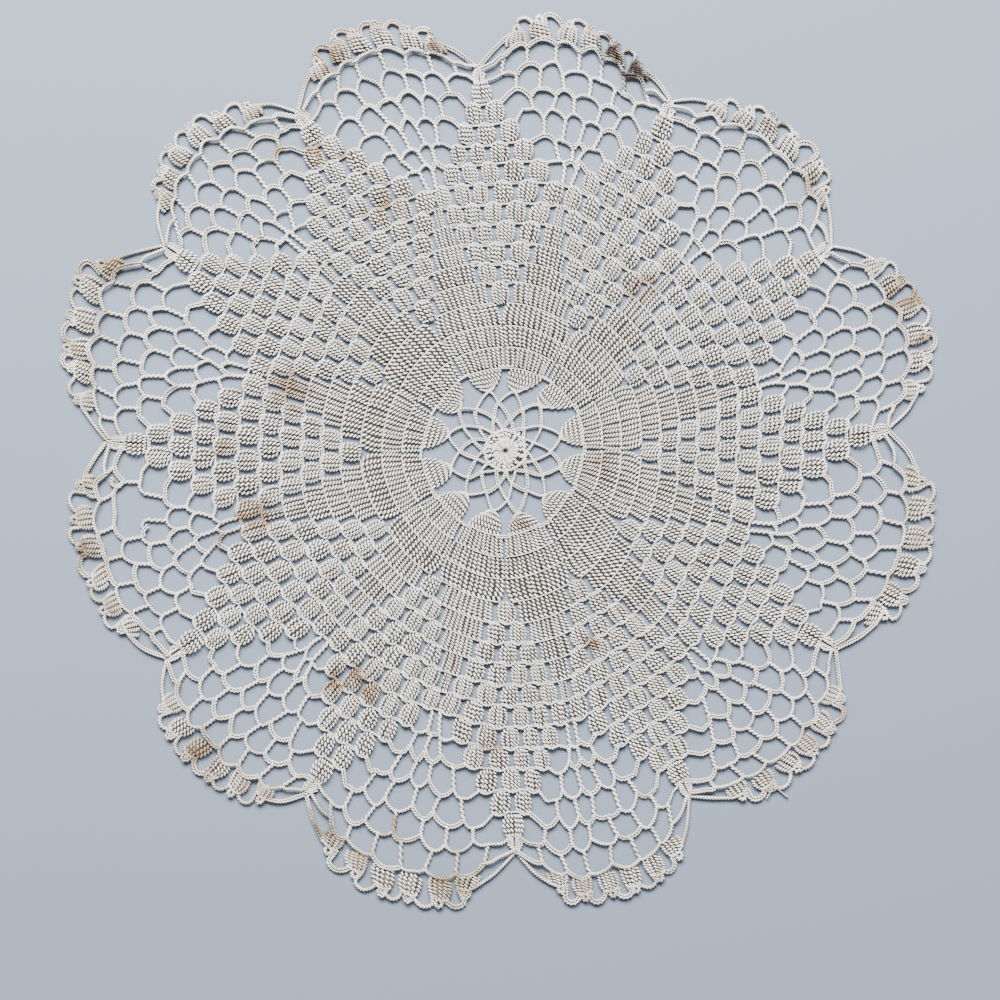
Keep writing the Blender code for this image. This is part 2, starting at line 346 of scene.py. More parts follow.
# %% Sew the stitches of a piece into one mesh
def mesh_from(name, points, corners, sides, crest, shade):
    """A mesh object from arrays, in millimetres, with its two colour attributes: painted light, and
    each stitch's own tone.
    """
    mesh = bpy.data.meshes.new(name)
    starts = np.concatenate(([0], np.cumsum(sides)[:-1]))
    mesh.vertices.add(len(points))
    mesh.vertices.foreach_set("co", (points * MM).ravel())
    mesh.loops.add(len(corners))
    mesh.loops.foreach_set("vertex_index", corners)
    mesh.polygons.add(len(starts))
    mesh.polygons.foreach_set("loop_start", starts)
    mesh.polygons.foreach_set("loop_total", sides)
    mesh.polygons.foreach_set("use_smooth", np.ones(len(starts), dtype=bool))
    for attribute, values in (("crest", crest), ("shade", shade)):
        mesh.attributes.new(attribute, "FLOAT", "POINT").data.foreach_set("value", values)
    mesh.update(calc_edges=True)
    made = bpy.data.objects.new(name, mesh)
    bpy.context.collection.objects.link(made)
    print(name, "has", (sides - 2).sum(), "triangles")
    return made


def sewn(name):
    """All the stitches of one piece as one mesh."""
    parts, used = [], 0
    for kind in sorted({stitch.kind for stitch in PIECES[name]}):
        made, stitches = PATTERNS[kind], [s for s in PIECES[name] if s.kind == kind]
        points = bent(made, stitches)
        count, size = points.shape[:2]
        corner_base = used + size * np.arange(count)[:, None]
        parts.append((
            points.reshape(-1, 3),
            (corner_base + made.corners).ravel(),
            np.tile(made.sides, count),
            np.tile(made.crest, count),
            np.repeat(random.random(count), size),
        ))
        used += count * size
    points, corners, sides, crest, shade = (np.concatenate(column) for column in zip(*parts))
    points[:, 2] -= min(points[:, 2].min() - LOWEST, 0.0)
    return mesh_from(name, points, corners, sides, crest, shade)


def tell(*names):
    """Print how many stitches some pieces have so far."""
    print({name: len(PIECES[name]) for name in names})


# %% [markdown]
# ## Cords of chain stitches
#
# Between the solid parts the thread runs as a chain: a plait of small Vs, which looks like a
# twisted rope where it lies on its side. A real chain is never flat, it rolls as it goes, so
# each cord shows its face or its side, and gets a slow twist. A thin core runs inside it.

# %% Draw a smooth path through points
CURVE_STEPS = 8  # between two given points of a curve


def at(turn, reach, aside=0.0, height=MID_HEIGHT):
    """A laid point above the table. aside: millimetres along the round."""
    x, y = place(turn + math.degrees(aside / max(reach, 1.0)), reach)
    return x, y, height


def smooth_path(points, count):
    """Points spread evenly along a smooth curve through the given ones."""
    points = np.array(points, dtype=float)
    padded = np.concatenate(([2 * points[0] - points[1]], points, [2 * points[-1] - points[-2]]))
    samples = []
    for n in range(len(points) - 1):
        p0, p1, p2, p3 = padded[n:n + 4]
        for share in np.linspace(0, 1, CURVE_STEPS, endpoint=False):
            samples.append(0.5 * (2 * p1 + (p2 - p0) * share
                                  + (2 * p0 - 5 * p1 + 4 * p2 - p3) * share ** 2
                                  + (3 * p1 - p0 - 3 * p2 + p3) * share ** 3))
    samples = np.array(samples + [points[-1]])
    run = np.concatenate(([0], np.cumsum(np.linalg.norm(np.diff(samples, axis=0), axis=1))))
    even = np.linspace(0, run[-1], count)
    return np.array([[np.interp(s, run, samples[:, axis]) for axis in range(3)] for s in even])


# %% Lay a cord of chain stitches, with its core
CORE_WIDTH = 1.1
CORE_THICK = 0.5
FACE_UP = 0.45  # share of the cords that show the face of the chain
CORD_ROLL, CORD_TWIST = 28, 35  # how far a cord rolls over and twists, in degrees
CORD_UNEVEN = (0.93, 1.06)  # width of a cord,
CHAIN_UNEVEN = (0.92, 1.08)  # and of each stitch in it, as shares of the even one
CHAIN_TALL = (0.9, 1.1)
LEG_WIDTH, LEG_WAIST, LEG_CORE = 2.05, 0.9, 0.8
LEG_STRAY = 0.25  # how far a leg's middle stands off its straight line
LEG_TALL = (1.0, 1.15)
# The ground and the cores are painted all dark, as painted shade between the stitches.
GROUND = []  # what lies under the stitches, as closed shapes: points, faces


def add_core(points, width=CORE_WIDTH):
    """A thin flat core along a cord, closed at both ends."""
    points = np.array(points)
    forward = unit(np.gradient(points, axis=0))
    side = unit(np.cross(forward, (0.0, 0.0, 1.0))) * width / 2
    rings = np.stack([points - side, points + (0, 0, CORE_THICK / 2),
                      points + side, points - (0, 0, CORE_THICK / 2)], axis=1)
    count = len(points)
    faces = []
    for r in range(count - 1):
        for c in range(4):
            a, b = 4 * r + c, 4 * r + (c + 1) % 4
            faces.append((a, a + 4, b + 4, b))
    faces += [(0, 1, 2, 3), (4 * count - 1, 4 * count - 2, 4 * count - 3, 4 * count - 4)]
    GROUND.append((rings.reshape(-1, 3), np.array(faces)))


def lay_cord(piece, points, width=CHAIN_WIDTH, roll=None, twist=None, lift=0.0, core=CORE_WIDTH,
             face_up=FACE_UP):
    """A chain cord through the given points."""
    points = [(x, y, z + lift) for x, y, z in points]
    length = sum(math.dist(a, b) for a, b in zip(points, points[1:]))
    count = max(1, round(length / CHAIN_LENGTH))
    path = smooth_path(points, 2 * count + 1)
    roll = stray(CORD_ROLL) if roll is None else roll
    twist = stray(CORD_TWIST) if twist is None else twist
    wide = width * random.uniform(*CORD_UNEVEN)
    kind = "chain" if random.random() < face_up else "side_chain"
    for n in range(count):
        turn = roll + twist * (n / count - 0.5)
        size = wide * random.uniform(*CHAIN_UNEVEN)
        lay(piece, kind, path[2 * n], path[2 * n + 1], path[2 * n + 2],
            (size, size, size), roll=turn, height=random.uniform(*CHAIN_TALL))
    add_core(path[::2] if count > 1 else path, core)


def lay_leg(piece, foot, top):
    """A single tall stitch that stands in the net."""
    middle = [(a + b) / 2 + stray(LEG_STRAY) for a, b in zip(foot, top)]
    middle[2] = (foot[2] + top[2]) / 2
    lay(piece, "leg", foot, middle, top, (LEG_WIDTH, LEG_WIDTH * LEG_WAIST, LEG_WIDTH),
        height=random.uniform(*LEG_TALL))
    add_core(smooth_path([foot, middle, top], 5), width=LEG_CORE)


# %% [markdown]
# ## Rows of trebles
#
# In a row the posts stand side by side, from the row below up to their own heads. A block
# is five posts worked close together: its feet are drawn in, its middle bulges like a small
# pillow, its corners are round, and a gap stays open on both sides. The heads of the posts
# make a thin chain along the row. Under the posts lies a thin ground of thread, because a
# crocheted row is several turns thick and never shows the table through it. That ground is
# painted dark, as painted shade between the posts.

# %% Lay a row of posts, with the ground under it
GROUND_THICK = 0.34
ROW_LIFT = 0.1
PILLOW = (0.0, 1.0, 0.3)  # share of a block's bulge at its foot, middle and top
PILLOW_ROLL = 20.0  # how far the side posts of a block turn outward, in degrees
POST_STRAY = 0.26  # how far a single post stands in or out
POST_WOBBLE = 0.18  # and how far it leans aside
TIGHT = 0.5  # share of the rows and blocks worked tight
HEAD_CORE = 0.4  # width of the core under a row's heads
POST_SHAPE = (0.8, 1.0, 0.95)  # width at foot, middle and top, of its own place
FOOT_GAP = 0.4  # a row's feet start above the heads of the row below
ROW_SWAY = 0.3  # how far a block's foot, middle and top lie off their even places
HEAD_WIDTH = 0.75  # width of the chain that a row's heads make
HEADS_SPAN = 0.94  # and the share of the row that it runs along
ROW_END = 0.3  # how far inside the row it is picked up, in posts
POST_UNEVEN = (0.86, 1.12)  # width of each post, as a share of the even one
POST_TALL = (0.88, 1.14)
POST_ROLL = 12  # how far a single post rolls, in degrees
THINNEST_POST = 1.0
GROUND_RIM, GROUND_DROP = 0.28, 0.12  # how far the ground keeps inside and under the posts
GROUND_SHARES = (0.03, 0.35, 0.68, 0.97)  # where its points lie along a post


def add_slab(grid):
    """A thin closed slab of ground from a grid of points."""
    rows, columns = grid.shape[:2]
    top = grid.reshape(-1, 3) + (0, 0, GROUND_THICK / 2)
    low = grid.reshape(-1, 3) - (0, 0, GROUND_THICK / 2)
    count = rows * columns
    index = np.arange(count).reshape(rows, columns)
    faces = []
    for r in range(rows - 1):
        for c in range(columns - 1):
            a, b, d, e = index[r, c], index[r, c + 1], index[r + 1, c + 1], index[r + 1, c]
            faces += [(a, b, d, e), (e + count, d + count, b + count, a + count)]
    rim = list(index[0, :]) + list(index[1:, -1]) + list(index[-1, -2::-1]) + list(index[-2:0:-1, 0])
    for a, b in zip(rim, rim[1:] + rim[:1]):
        faces.append((b, a, a + count, b + count))
    GROUND.append((np.concatenate((top, low)), np.array(faces)))


def lay_row(piece, turn, low, high, count, pitch, offset=0.0, spread=(1.0, 1.0, 1.0), bulge=0.0,
            corner=0.0, snug=1.0, sway=ROW_SWAY, lean=0.0, heads=HEAD_WIDTH):
    """Posts side by side about a turn. offset moves the whole row along, in millimetres."""
    middle = (low + high) / 2
    half = count / 2
    strays = stray(sway, 3) + np.array((0.0, 0.5, 1.0)) * lean

    def path(post, stray_out=0.0, wobble=(0.0, 0.0, 0.0)):
        """Foot, middle and top of a post, counted from the row's middle."""
        points = []
        side = (post / half) ** 2
        crown = bulge * (1 - side)
        for part, reach in enumerate((low + corner * side, middle, high - corner * side)):
            aside = offset + strays[part] + wobble[part] + post * pitch * spread[part]
            points.append(at(turn, reach + stray_out + FOOT_GAP * (part == 0), aside * reach / middle,
                             MID_HEIGHT + ROW_LIFT + crown * PILLOW[part]))
        return points

    def width(post, part):
        return math.dist(path(post - 0.5)[part][:2], path(post + 0.5)[part][:2])

    kind = "tight_post" if random.random() < TIGHT else "post"
    for post in np.arange(count) - (count - 1) / 2:
        foot, centre, top = path(post, stray(POST_STRAY), stray(POST_WOBBLE, 3))
        widths = [max(width(post, part) * POST_SHAPE[part], THINNEST_POST) * snug
                  * random.uniform(*POST_UNEVEN) for part in range(3)]
        roll = PILLOW_ROLL * post / half if bulge else 0.0
        lay(piece, kind, foot, centre, top, widths, roll=roll + stray(POST_ROLL),
            height=random.uniform(*POST_TALL))
    lay_cord(piece, [path(post)[2] for post in np.linspace(-half, half, 5) * HEADS_SPAN],
             width=heads, roll=0, twist=0, lift=heads / 4, core=HEAD_CORE, face_up=0.0)
    columns = max(4, count // 2 + 1)
    edge = half - GROUND_RIM
    posts = [np.array(path(post)) for post in np.linspace(edge, -edge, columns)]
    add_slab(np.array([[through(points, share) - (0, 0, GROUND_DROP) for points in posts]
                       for share in GROUND_SHARES]))
    return path(half - ROW_END)[2], path(ROW_END - half)[2]


# %% [markdown]
# ## The rosette and its small net
#
# The work starts in the middle: long loops drawn into a ring, a second round of short
# trebles, then three rounds of chain loops. These lie least evenly of all, so a short table
# says where each of their joints lies in each sector.

# %% Chart the joints of the centre net
# near: the tops of the first loops, joint: of the second, root: of the third, where a petal
# springs. A turn is in degrees as it lies, and a reach in millimetres.
Centre = namedtuple("Centre", "joint_turn joint near_turn near root_turn root")
CENTRE = (
    Centre(-0.9, 16.5, 17.0, 10.6, 16.2, 20.9),
    Centre(34.6, 15.7, 50.8, 10.3, 53.8, 20.8),
    Centre(67.5, 16.2, 81.0, 11.5, 81.6, 21.9),
    Centre(98.4, 17.8, 109.0, 12.6, 105.6, 22.6),
    Centre(125.9, 18.5, 138.0, 12.9, 138.2, 22.5),
    Centre(149.7, 17.8, 161.0, 12.4, 164.3, 21.5),
    Centre(180.0, 16.5, 194.2, 10.9, 197.8, 20.6),
    Centre(215.5, 16.7, 221.0, 11.5, 228.1, 21.2),
    Centre(244.8, 16.4, 258.0, 12.4, 258.5, 22.3),
    Centre(272.3, 18.0, 281.0, 12.0, 281.7, 23.2),
    Centre(298.5, 16.2, 316.0, 10.4, 311.1, 21.7),
    Centre(326.7, 16.0, 341.3, 10.7, 345.0, 20.9),
)
ROSETTE_INNER, ROSETTE_EDGE = 4.2, 7.8
ROSETTE_HOLE = 0.95


def polar(turn, reach, height=MID_HEIGHT):
    """A point straight from its turn and reach, for what the lay doesn't move."""
    return reach * math.cos(math.radians(turn)), reach * math.sin(math.radians(turn)), height


LOOP_ROUNDNESS = 0.6  # 0 is a loop with straight sides, 1 is a round arch
LOOP_POINTS = 15


def loop_over(start, peak, end):
    """One loop of chain, from joint to joint over its peak."""
    start, peak, end = (np.array(point) for point in (start, peak, end))
    height = (0, 0, random.uniform(0, 0.3))
    points = []
    for share in np.linspace(0, 1, LOOP_POINTS):
        tent = between(start, peak, 2 * share) if share < 0.5 else between(peak, end, 2 * share - 1)
        round_arch = through((start, peak, end), share)
        points.append(tuple(between(tent, round_arch, LOOP_ROUNDNESS) + height))
    return points


# %% Lay the rosette and the centre net
ROSETTE_LOOPS, ROSETTE_TREBLES = 17, 30
for n in range(ROSETTE_LOOPS):
    turn = n * 360 / ROSETTE_LOOPS + stray(4)
    for rise, side in ((0.0, 1), (0.5, -1)):       # the two strands of a loop, one over the other
        lay("rosette", "side_chain", polar(turn, ROSETTE_HOLE, 1.0 + rise),
            polar(turn + side * 5, 2.7, 1.3),
            polar(turn + side * 7, ROSETTE_INNER + random.uniform(-0.3, 0.5), 1.2),
            (0.3, 0.8, 0.9), height=1.1)
for n in range(ROSETTE_TREBLES):
    turn = n * 360 / ROSETTE_TREBLES + stray(3)
    reach = ROSETTE_EDGE + random.uniform(-0.6, 0.5)
    lay("rosette", "short_post", polar(turn, ROSETTE_INNER - 0.6, 1.0),
        polar(turn + stray(7), (ROSETTE_INNER + reach) / 2, 1.2),
        polar(turn, reach, 0.9), (1.1, 1.5, 1.7), roll=stray(25),
        height=random.uniform(0.9, 1.15))
rim = [polar(turn, ROSETTE_EDGE - 0.5 + stray(0.35), 1.25)
       for turn in range(0, 346, 15)]
lay_cord("rosette", rim + rim[:1], width=1.3, roll=0, twist=0)
add_slab(np.array([[polar(turn, reach, 1.0) for turn in range(360, -1, -15)]
                   for reach in (1.3, 4.0, 7.4)]))

for sector in range(SECTORS):
    before, here, after = (CENTRE[(sector + step) % SECTORS] for step in (-1, 0, 1))
    anchor = polar(here.joint_turn, ROSETTE_EDGE)
    next_anchor = polar(after.joint_turn, ROSETTE_EDGE)
    near, joint = polar(here.near_turn, here.near), polar(here.joint_turn, here.joint)
    near_before = polar(before.near_turn, before.near)
    next_joint = polar(after.joint_turn, after.joint)
    root = polar(here.root_turn, here.root)
    for start, peak, end in ((anchor, near, next_anchor), (near, joint, near_before),
                             (joint, root, next_joint)):
        lay_cord("rosette", loop_over(start, peak, end), width=1.35, core=0.8)
tell("rosette")

# %% [markdown]
# ## Petals, solid rounds, fans and blocks
#
# Twelve petals open from the net, each nine posts from one loop, and a short bar of chain
# joins each petal to the next. Three solid rounds follow, with a thin slit and a small
# three-cornered opening on each line between sectors. From there every round has one more
# small block on that line and fewer posts in the solid fan, until only blocks are left, and
# then the blocks fall away again as the net grows.

# %% Lay the petals
PETAL_POSTS, PETAL_REACH = 9, 29.9
PETAL_PITCH = 1.38
PETAL_FOOT = 0.4  # how far apart a petal's posts start
PETAL_ROUND = 1.3  # how much later its side posts start than its middle one
PETAL_BOW = 0.2  # how much its side posts bow outward
PETAL_RISE = 0.35  # how much higher it stands in its middle
PETAL_POST = (0.7, 1.15, 1.45)  # width of a post at foot, middle and top
BAR_HALF = 2.6  # half the length of the bar between two petals
for sector in range(SECTORS):
    centre = CENTRE[sector]
    root = np.array(polar(centre.root_turn, centre.root - 0.6))
    outward = unit(root * (1, 1, 0))
    tops = [np.array(at(middle_of(sector), PETAL_REACH, post * PETAL_PITCH))
            for post in np.arange(PETAL_POSTS) - (PETAL_POSTS - 1) / 2]
    grid = []
    for post, top in enumerate(tops):
        off = (post - (PETAL_POSTS - 1) / 2) / (PETAL_POSTS / 2)
        across = (tops[-1] - tops[0]) / 2 * off
        foot = root + unit(across) * abs(off) * PETAL_FOOT * PETAL_POSTS / 2 if off else root
        foot = foot + outward * PETAL_ROUND * off * off
        middle = (foot + top) / 2 + across * PETAL_BOW + (0, 0, PETAL_RISE * (1 - off * off))
        lay("petals", "post", foot, middle, top, PETAL_POST, roll=stray(9))
        grid.append([through((foot, middle, top), share) - (0, 0, 0.1)
                     for share in (0.08, 0.5, 0.97)])
    add_slab(np.array(grid[::-1]).swapaxes(0, 1)[:, ::2])
    lay_cord("petals", tops, width=HEAD_WIDTH, roll=0, twist=0, lift=HEAD_WIDTH / 3, core=HEAD_CORE,
             face_up=0.0)
    valley = sector * SECTOR_TURN
    lay_cord("petals", [at(valley, PETAL_REACH + 0.3, aside, 1.1)
                        for aside in (-BAR_HALF, 0.0, BAR_HALF)], width=1.4, roll=0)
tell("petals")

# %% Lay the solid rounds
SolidRound = namedtuple("SolidRound", "low high posts foot middle top")
SOLID_SNUG = 0.90  # a post's width in its own place
SOLID_SWAY = 0.1
SOLID_ROUNDS = (
    SolidRound(29.9, 37.2, 11, 0.99, 0.97, 1.0),
    SolidRound(37.2, 44.7, 13, 1.01, 1.02, 1.01),
    SolidRound(44.7, 52.6, 13, 1.01, 0.98, 0.86),
)
for sector in range(SECTORS):
    for row in SOLID_ROUNDS:
        width = math.radians(SECTOR_TURN) * (row.low + row.high) / 2
        lay_row("solid_rounds", middle_of(sector), row.low, row.high, row.posts, width / row.posts,
                spread=(row.foot, row.middle, row.top), snug=SOLID_SNUG, sway=SOLID_SWAY)
tell("solid_rounds")

# %% Lay the fans and the blocks
BLOCK_POSTS, BLOCK_POST_PITCH = 5, 1.34
BLOCK_SPREAD = (0.75, 1.08, 0.76)  # of that pitch, at foot, middle and top
BLOCK_BULGE = 1.1
BLOCK_FOOT = 0.9  # how far a block's foot wraps down over the chain it stands on
BLOCK_CORNER = 1.1  # how round its corners are
BLOCK_HEADS = 1.05  # width of the chain its heads make
FAN_GAP = 1.3  # left free beside a fan, both sides together
BlockRound = namedtuple("BlockRound", "blocks low high pitch fan_posts piece")
BLOCK_ROUNDS = (
    BlockRound(1, 52.6, 60.2, 8.1, 11, "inner_blocks"),
    BlockRound(2, 60.2, 67.5, 8.1, 9, "inner_blocks"),
    BlockRound(3, 67.5, 74.8, 8.1, 7, "inner_blocks"),
    BlockRound(4, 74.8, 82.5, 8.1, 5, "inner_blocks"),
    BlockRound(5, 82.5, 90.0, 8.1, 3, "inner_blocks"),
    BlockRound(6, 90.0, 98.0, 8.3, 0, "middle_blocks"),
    BlockRound(5, 98.0, 105.9, 8.4, 0, "middle_blocks"),
    BlockRound(4, 105.9, 113.5, 8.4, 0, "outer_blocks"),
    BlockRound(3, 113.5, 121.7, 8.4, 0, "outer_blocks"),
    BlockRound(2, 121.7, 129.9, 8.4, 0, "outer_blocks"),
)


def bridge(piece, start, end):
    """The chain over the gap between two blocks."""
    lay_cord(piece, [start, [(a + b) / 2 for a, b in zip(start, end)], end], width=1.15, lift=-0.15)


ROW_ENDS = {}  # where each round's first and last chain end, for the net to start from
for sector in range(SECTORS):
    valley = sector * SECTOR_TURN
    for row in BLOCK_ROUNDS:
        corners = []
        for block in range(row.blocks):
            offset = (block - (row.blocks - 1) / 2) * row.pitch
            late, early = lay_row(row.piece, valley, row.low - BLOCK_FOOT, row.high, BLOCK_POSTS,
                                  BLOCK_POST_PITCH, offset, BLOCK_SPREAD, bulge=BLOCK_BULGE,
                                  corner=BLOCK_CORNER, heads=BLOCK_HEADS)
            corners += [early, late]
        if row.fan_posts:
            middle = (row.low + row.high) / 2
            width = math.radians(SECTOR_TURN) * middle - row.blocks * row.pitch - FAN_GAP
            late, early = lay_row("fans", middle_of(sector), row.low, row.high, row.fan_posts,
                                  width / row.fan_posts, snug=SOLID_SNUG, sway=SOLID_SWAY)
            bridge(row.piece, corners[-1], early)
            corners.append(late)
        for n in range(1, row.blocks):
            bridge(row.piece, corners[2 * n - 1], corners[2 * n])
        ROW_ENDS[sector, row.high] = corners[0], corners[-1]

JOINED_ROUNDS = 6  # rounds that run on from sector to sector, before the net parts them
for sector in range(SECTORS):
    for row in BLOCK_ROUNDS[:JOINED_ROUNDS]:
        late_end = ROW_ENDS[sector, row.high][1]
        early_end = ROW_ENDS[(sector + 1) % SECTORS, row.high][0]
        bridge(row.piece, late_end, early_end)
tell("fans", "inner_blocks", "middle_blocks", "outer_blocks")

# %% [markdown]
# The last block on each line has two lobes that close to a point, where the valley between
# two scallops starts.

# %% Lay the tip blocks
TIP_LOW, TIP_HIGH = 129.9, 138.3
TIP_POSTS = 6
TIP_PITCHES = (0.95, 1.3, 0.75)  # of its posts, at foot, middle and top
TIP_POST = (1.1, 1.4, 0.85)  # their widths there
TIP_LOBE, TIP_BULGE = 0.2, 0.7  # half the slit between the lobes, and their rise
for sector in range(SECTORS):
    valley = sector * SECTOR_TURN
    for post in np.arange(TIP_POSTS) - (TIP_POSTS - 1) / 2:
        foot, middle, top = (post * pitch for pitch in TIP_PITCHES)
        lobe = math.copysign(TIP_LOBE, post)
        lay("outer_blocks", "post", at(valley, TIP_LOW, foot),
            at(valley, (TIP_LOW + TIP_HIGH) / 2, middle + lobe, MID_HEIGHT + TIP_BULGE),
            at(valley, TIP_HIGH + 0.4, top, MID_HEIGHT + 0.2), TIP_POST)
    grid = [[at(valley, reach, side * share) for share in (3.0, 1.0, -1.0, -3.0)]
            for reach, side in ((TIP_LOW, 0.8), (134.0, 1.1), (TIP_HIGH, 0.55))]
    add_slab(np.array(grid))
tell("outer_blocks")

# %% [markdown]
# ## The net and its edging
#
# Each round of net has one cell more than the round below: chain arches that meet on the
# cords under them, and a single tall stitch from the top of each arch up to the next joint.
# Six small blocks and five chain loops edge every scallop, and long cords close each valley.

# %% Work out where the net's cords run
JOINT_STRAY = 1.1
ARCH_HANG, TORN_HANG = 2.2, 5  # the greater, the flatter an arch is on top
ARCH_POINTS = 9
TIP_CORNER = 1.4  # from the valley's line to the corners of a tip block


def net_half_turn(net):
    """From a sector's middle line to where a round of net starts, in degrees."""
    row_reach = net.side_reach - BLOCK_PITCH / 2
    if net.blocks > 1:
        blocks_width = net.blocks * BLOCK_PITCH
    else:
        blocks_width = TIP_BLOCK_WIDTH if net.blocks else TIP_CORD_WIDTH
    return HALF_SECTOR - math.degrees(blocks_width / 2 / row_reach)


def arch_top(net, off_middle):
    """Reach of a round's arches, which stand highest in the middle."""
    share = 1 - (off_middle / HALF_SECTOR) ** 2
    return between(net.side_reach, net.middle_reach, share)


def joint_turn(net, joint):
    """Turn of a numbered joint from the sector's middle line. The first joint is number 0."""
    half_turn = net_half_turn(net)
    return -half_turn + 2 * half_turn / net.cells * joint


STRAYS = {}


def net_stray(sector, index, joint):
    """How far a joint or an arch's top lies off its even place, the same for all its cords."""
    if (sector, index, joint) not in STRAYS:
        STRAYS[sector, index, joint] = stray(JOINT_STRAY, 2)
    return STRAYS[sector, index, joint]


def net_point(sector, index, joint, drop=None):
    """A point on a round of net. joint is halfway between two numbers at an arch's top."""
    net = NET_ROUNDS[index]
    turn = joint_turn(net, joint)
    if drop is None:
        ends = joint in (0, net.cells)
        drop = 0.0 if ends or joint % 1 else net.arch_rise
    x, y, z = at(middle_of(sector) + turn, arch_top(net, turn) - drop)
    low, high = (net_stray(sector, index, half / 2) for half in (int(joint * 2), math.ceil(joint * 2)))
    aside, out = between(low, high, joint * 2 - int(joint * 2))
    return x + aside, y + out, z


def arch(sector, index, first, last, hang=ARCH_HANG):
    """A chain arch from one joint to another, highest halfway."""
    net = NET_ROUNDS[index]
    points = []
    for share in np.linspace(-1, 1, ARCH_POINTS):
        open_end = (first == 0 and share < 0) or (last == net.cells and share > 0)
        drop = 0.0 if open_end else net.arch_rise * abs(share) ** hang
        points.append(net_point(sector, index, between(first, last, (share + 1) / 2), drop))
    if first == 0 and net.blocks > 0:
        points[0] = block_corner(sector, net, 1)
    if last == net.cells and net.blocks > 0:
        points[-1] = block_corner(sector + 1, net, 0)
    return points


def block_corner(line, net, side):
    """The top corner of the last block beside a round of net."""
    if net.blocks == 1:
        return at(line * SECTOR_TURN, TIP_HIGH, TIP_CORNER if side else -TIP_CORNER)
    return ROW_ENDS[line % SECTORS, net.side_reach][side]


# %% Lay the net
FIRST_LEG_TURN = 0.9  # off the middle line, where the first two legs stand
EDGE_FOOT_LIFT = 0.5  # the last arches lie over the feet of the edge blocks
INNER_ROUNDS = 4  # rounds of net in the inner piece
NET_CORD = 1.7  # width of the net's chains
CROSSING_LIFT = 0.35  # how much higher one cord lies than another, at most
BROKEN_GAP = 3, 4  # a broken arch stops before the first of these points, then goes on
torn = TORN_SECTOR, TORN_ROUND
broken = TORN_SECTOR, TORN_ROUND - 1
for sector in range(SECTORS):
    for index, net in enumerate(NET_ROUNDS):
        piece = "net_inner" if index < INNER_ROUNDS else "net_outer"
        for cell in range(net.cells):
            if (sector, index) == broken and cell == TORN_CELLS[0]:
                continue
            if (sector, index) == broken and cell == TORN_CELLS[1]:
                points = arch(sector, index, cell, cell + 1)
                lay_cord(piece, points[:BROKEN_GAP[0]], width=NET_CORD)
                lay_cord(piece, points[BROKEN_GAP[1]:], width=NET_CORD)
                continue
            if (sector, index) == torn and cell in TORN_CELLS:
                continue
            over = EDGE_FOOT_LIFT if index == len(NET_ROUNDS) - 1 else 0.0
            lay_cord(piece, arch(sector, index, cell, cell + 1), width=NET_CORD,
                     lift=over + random.uniform(0, CROSSING_LIFT))
        if (sector, index) == torn:
            lay_cord(piece, arch(sector, index, TORN_CELLS[0], TORN_CELLS[1] + 1, hang=TORN_HANG))
        for joint in range(1, net.cells):
            if (sector, index) == torn and joint == TORN_CELLS[1]:
                continue
            if index:
                foot = net_point(sector, index - 1, joint - 0.5)
            else:
                turn = (2 * joint - net.cells) * FIRST_LEG_TURN
                foot = at(middle_of(sector) + turn, FAN_REACH - 0.3)
            lay_leg(piece, foot, net_point(sector, index, joint))
tell("net_inner", "net_outer")

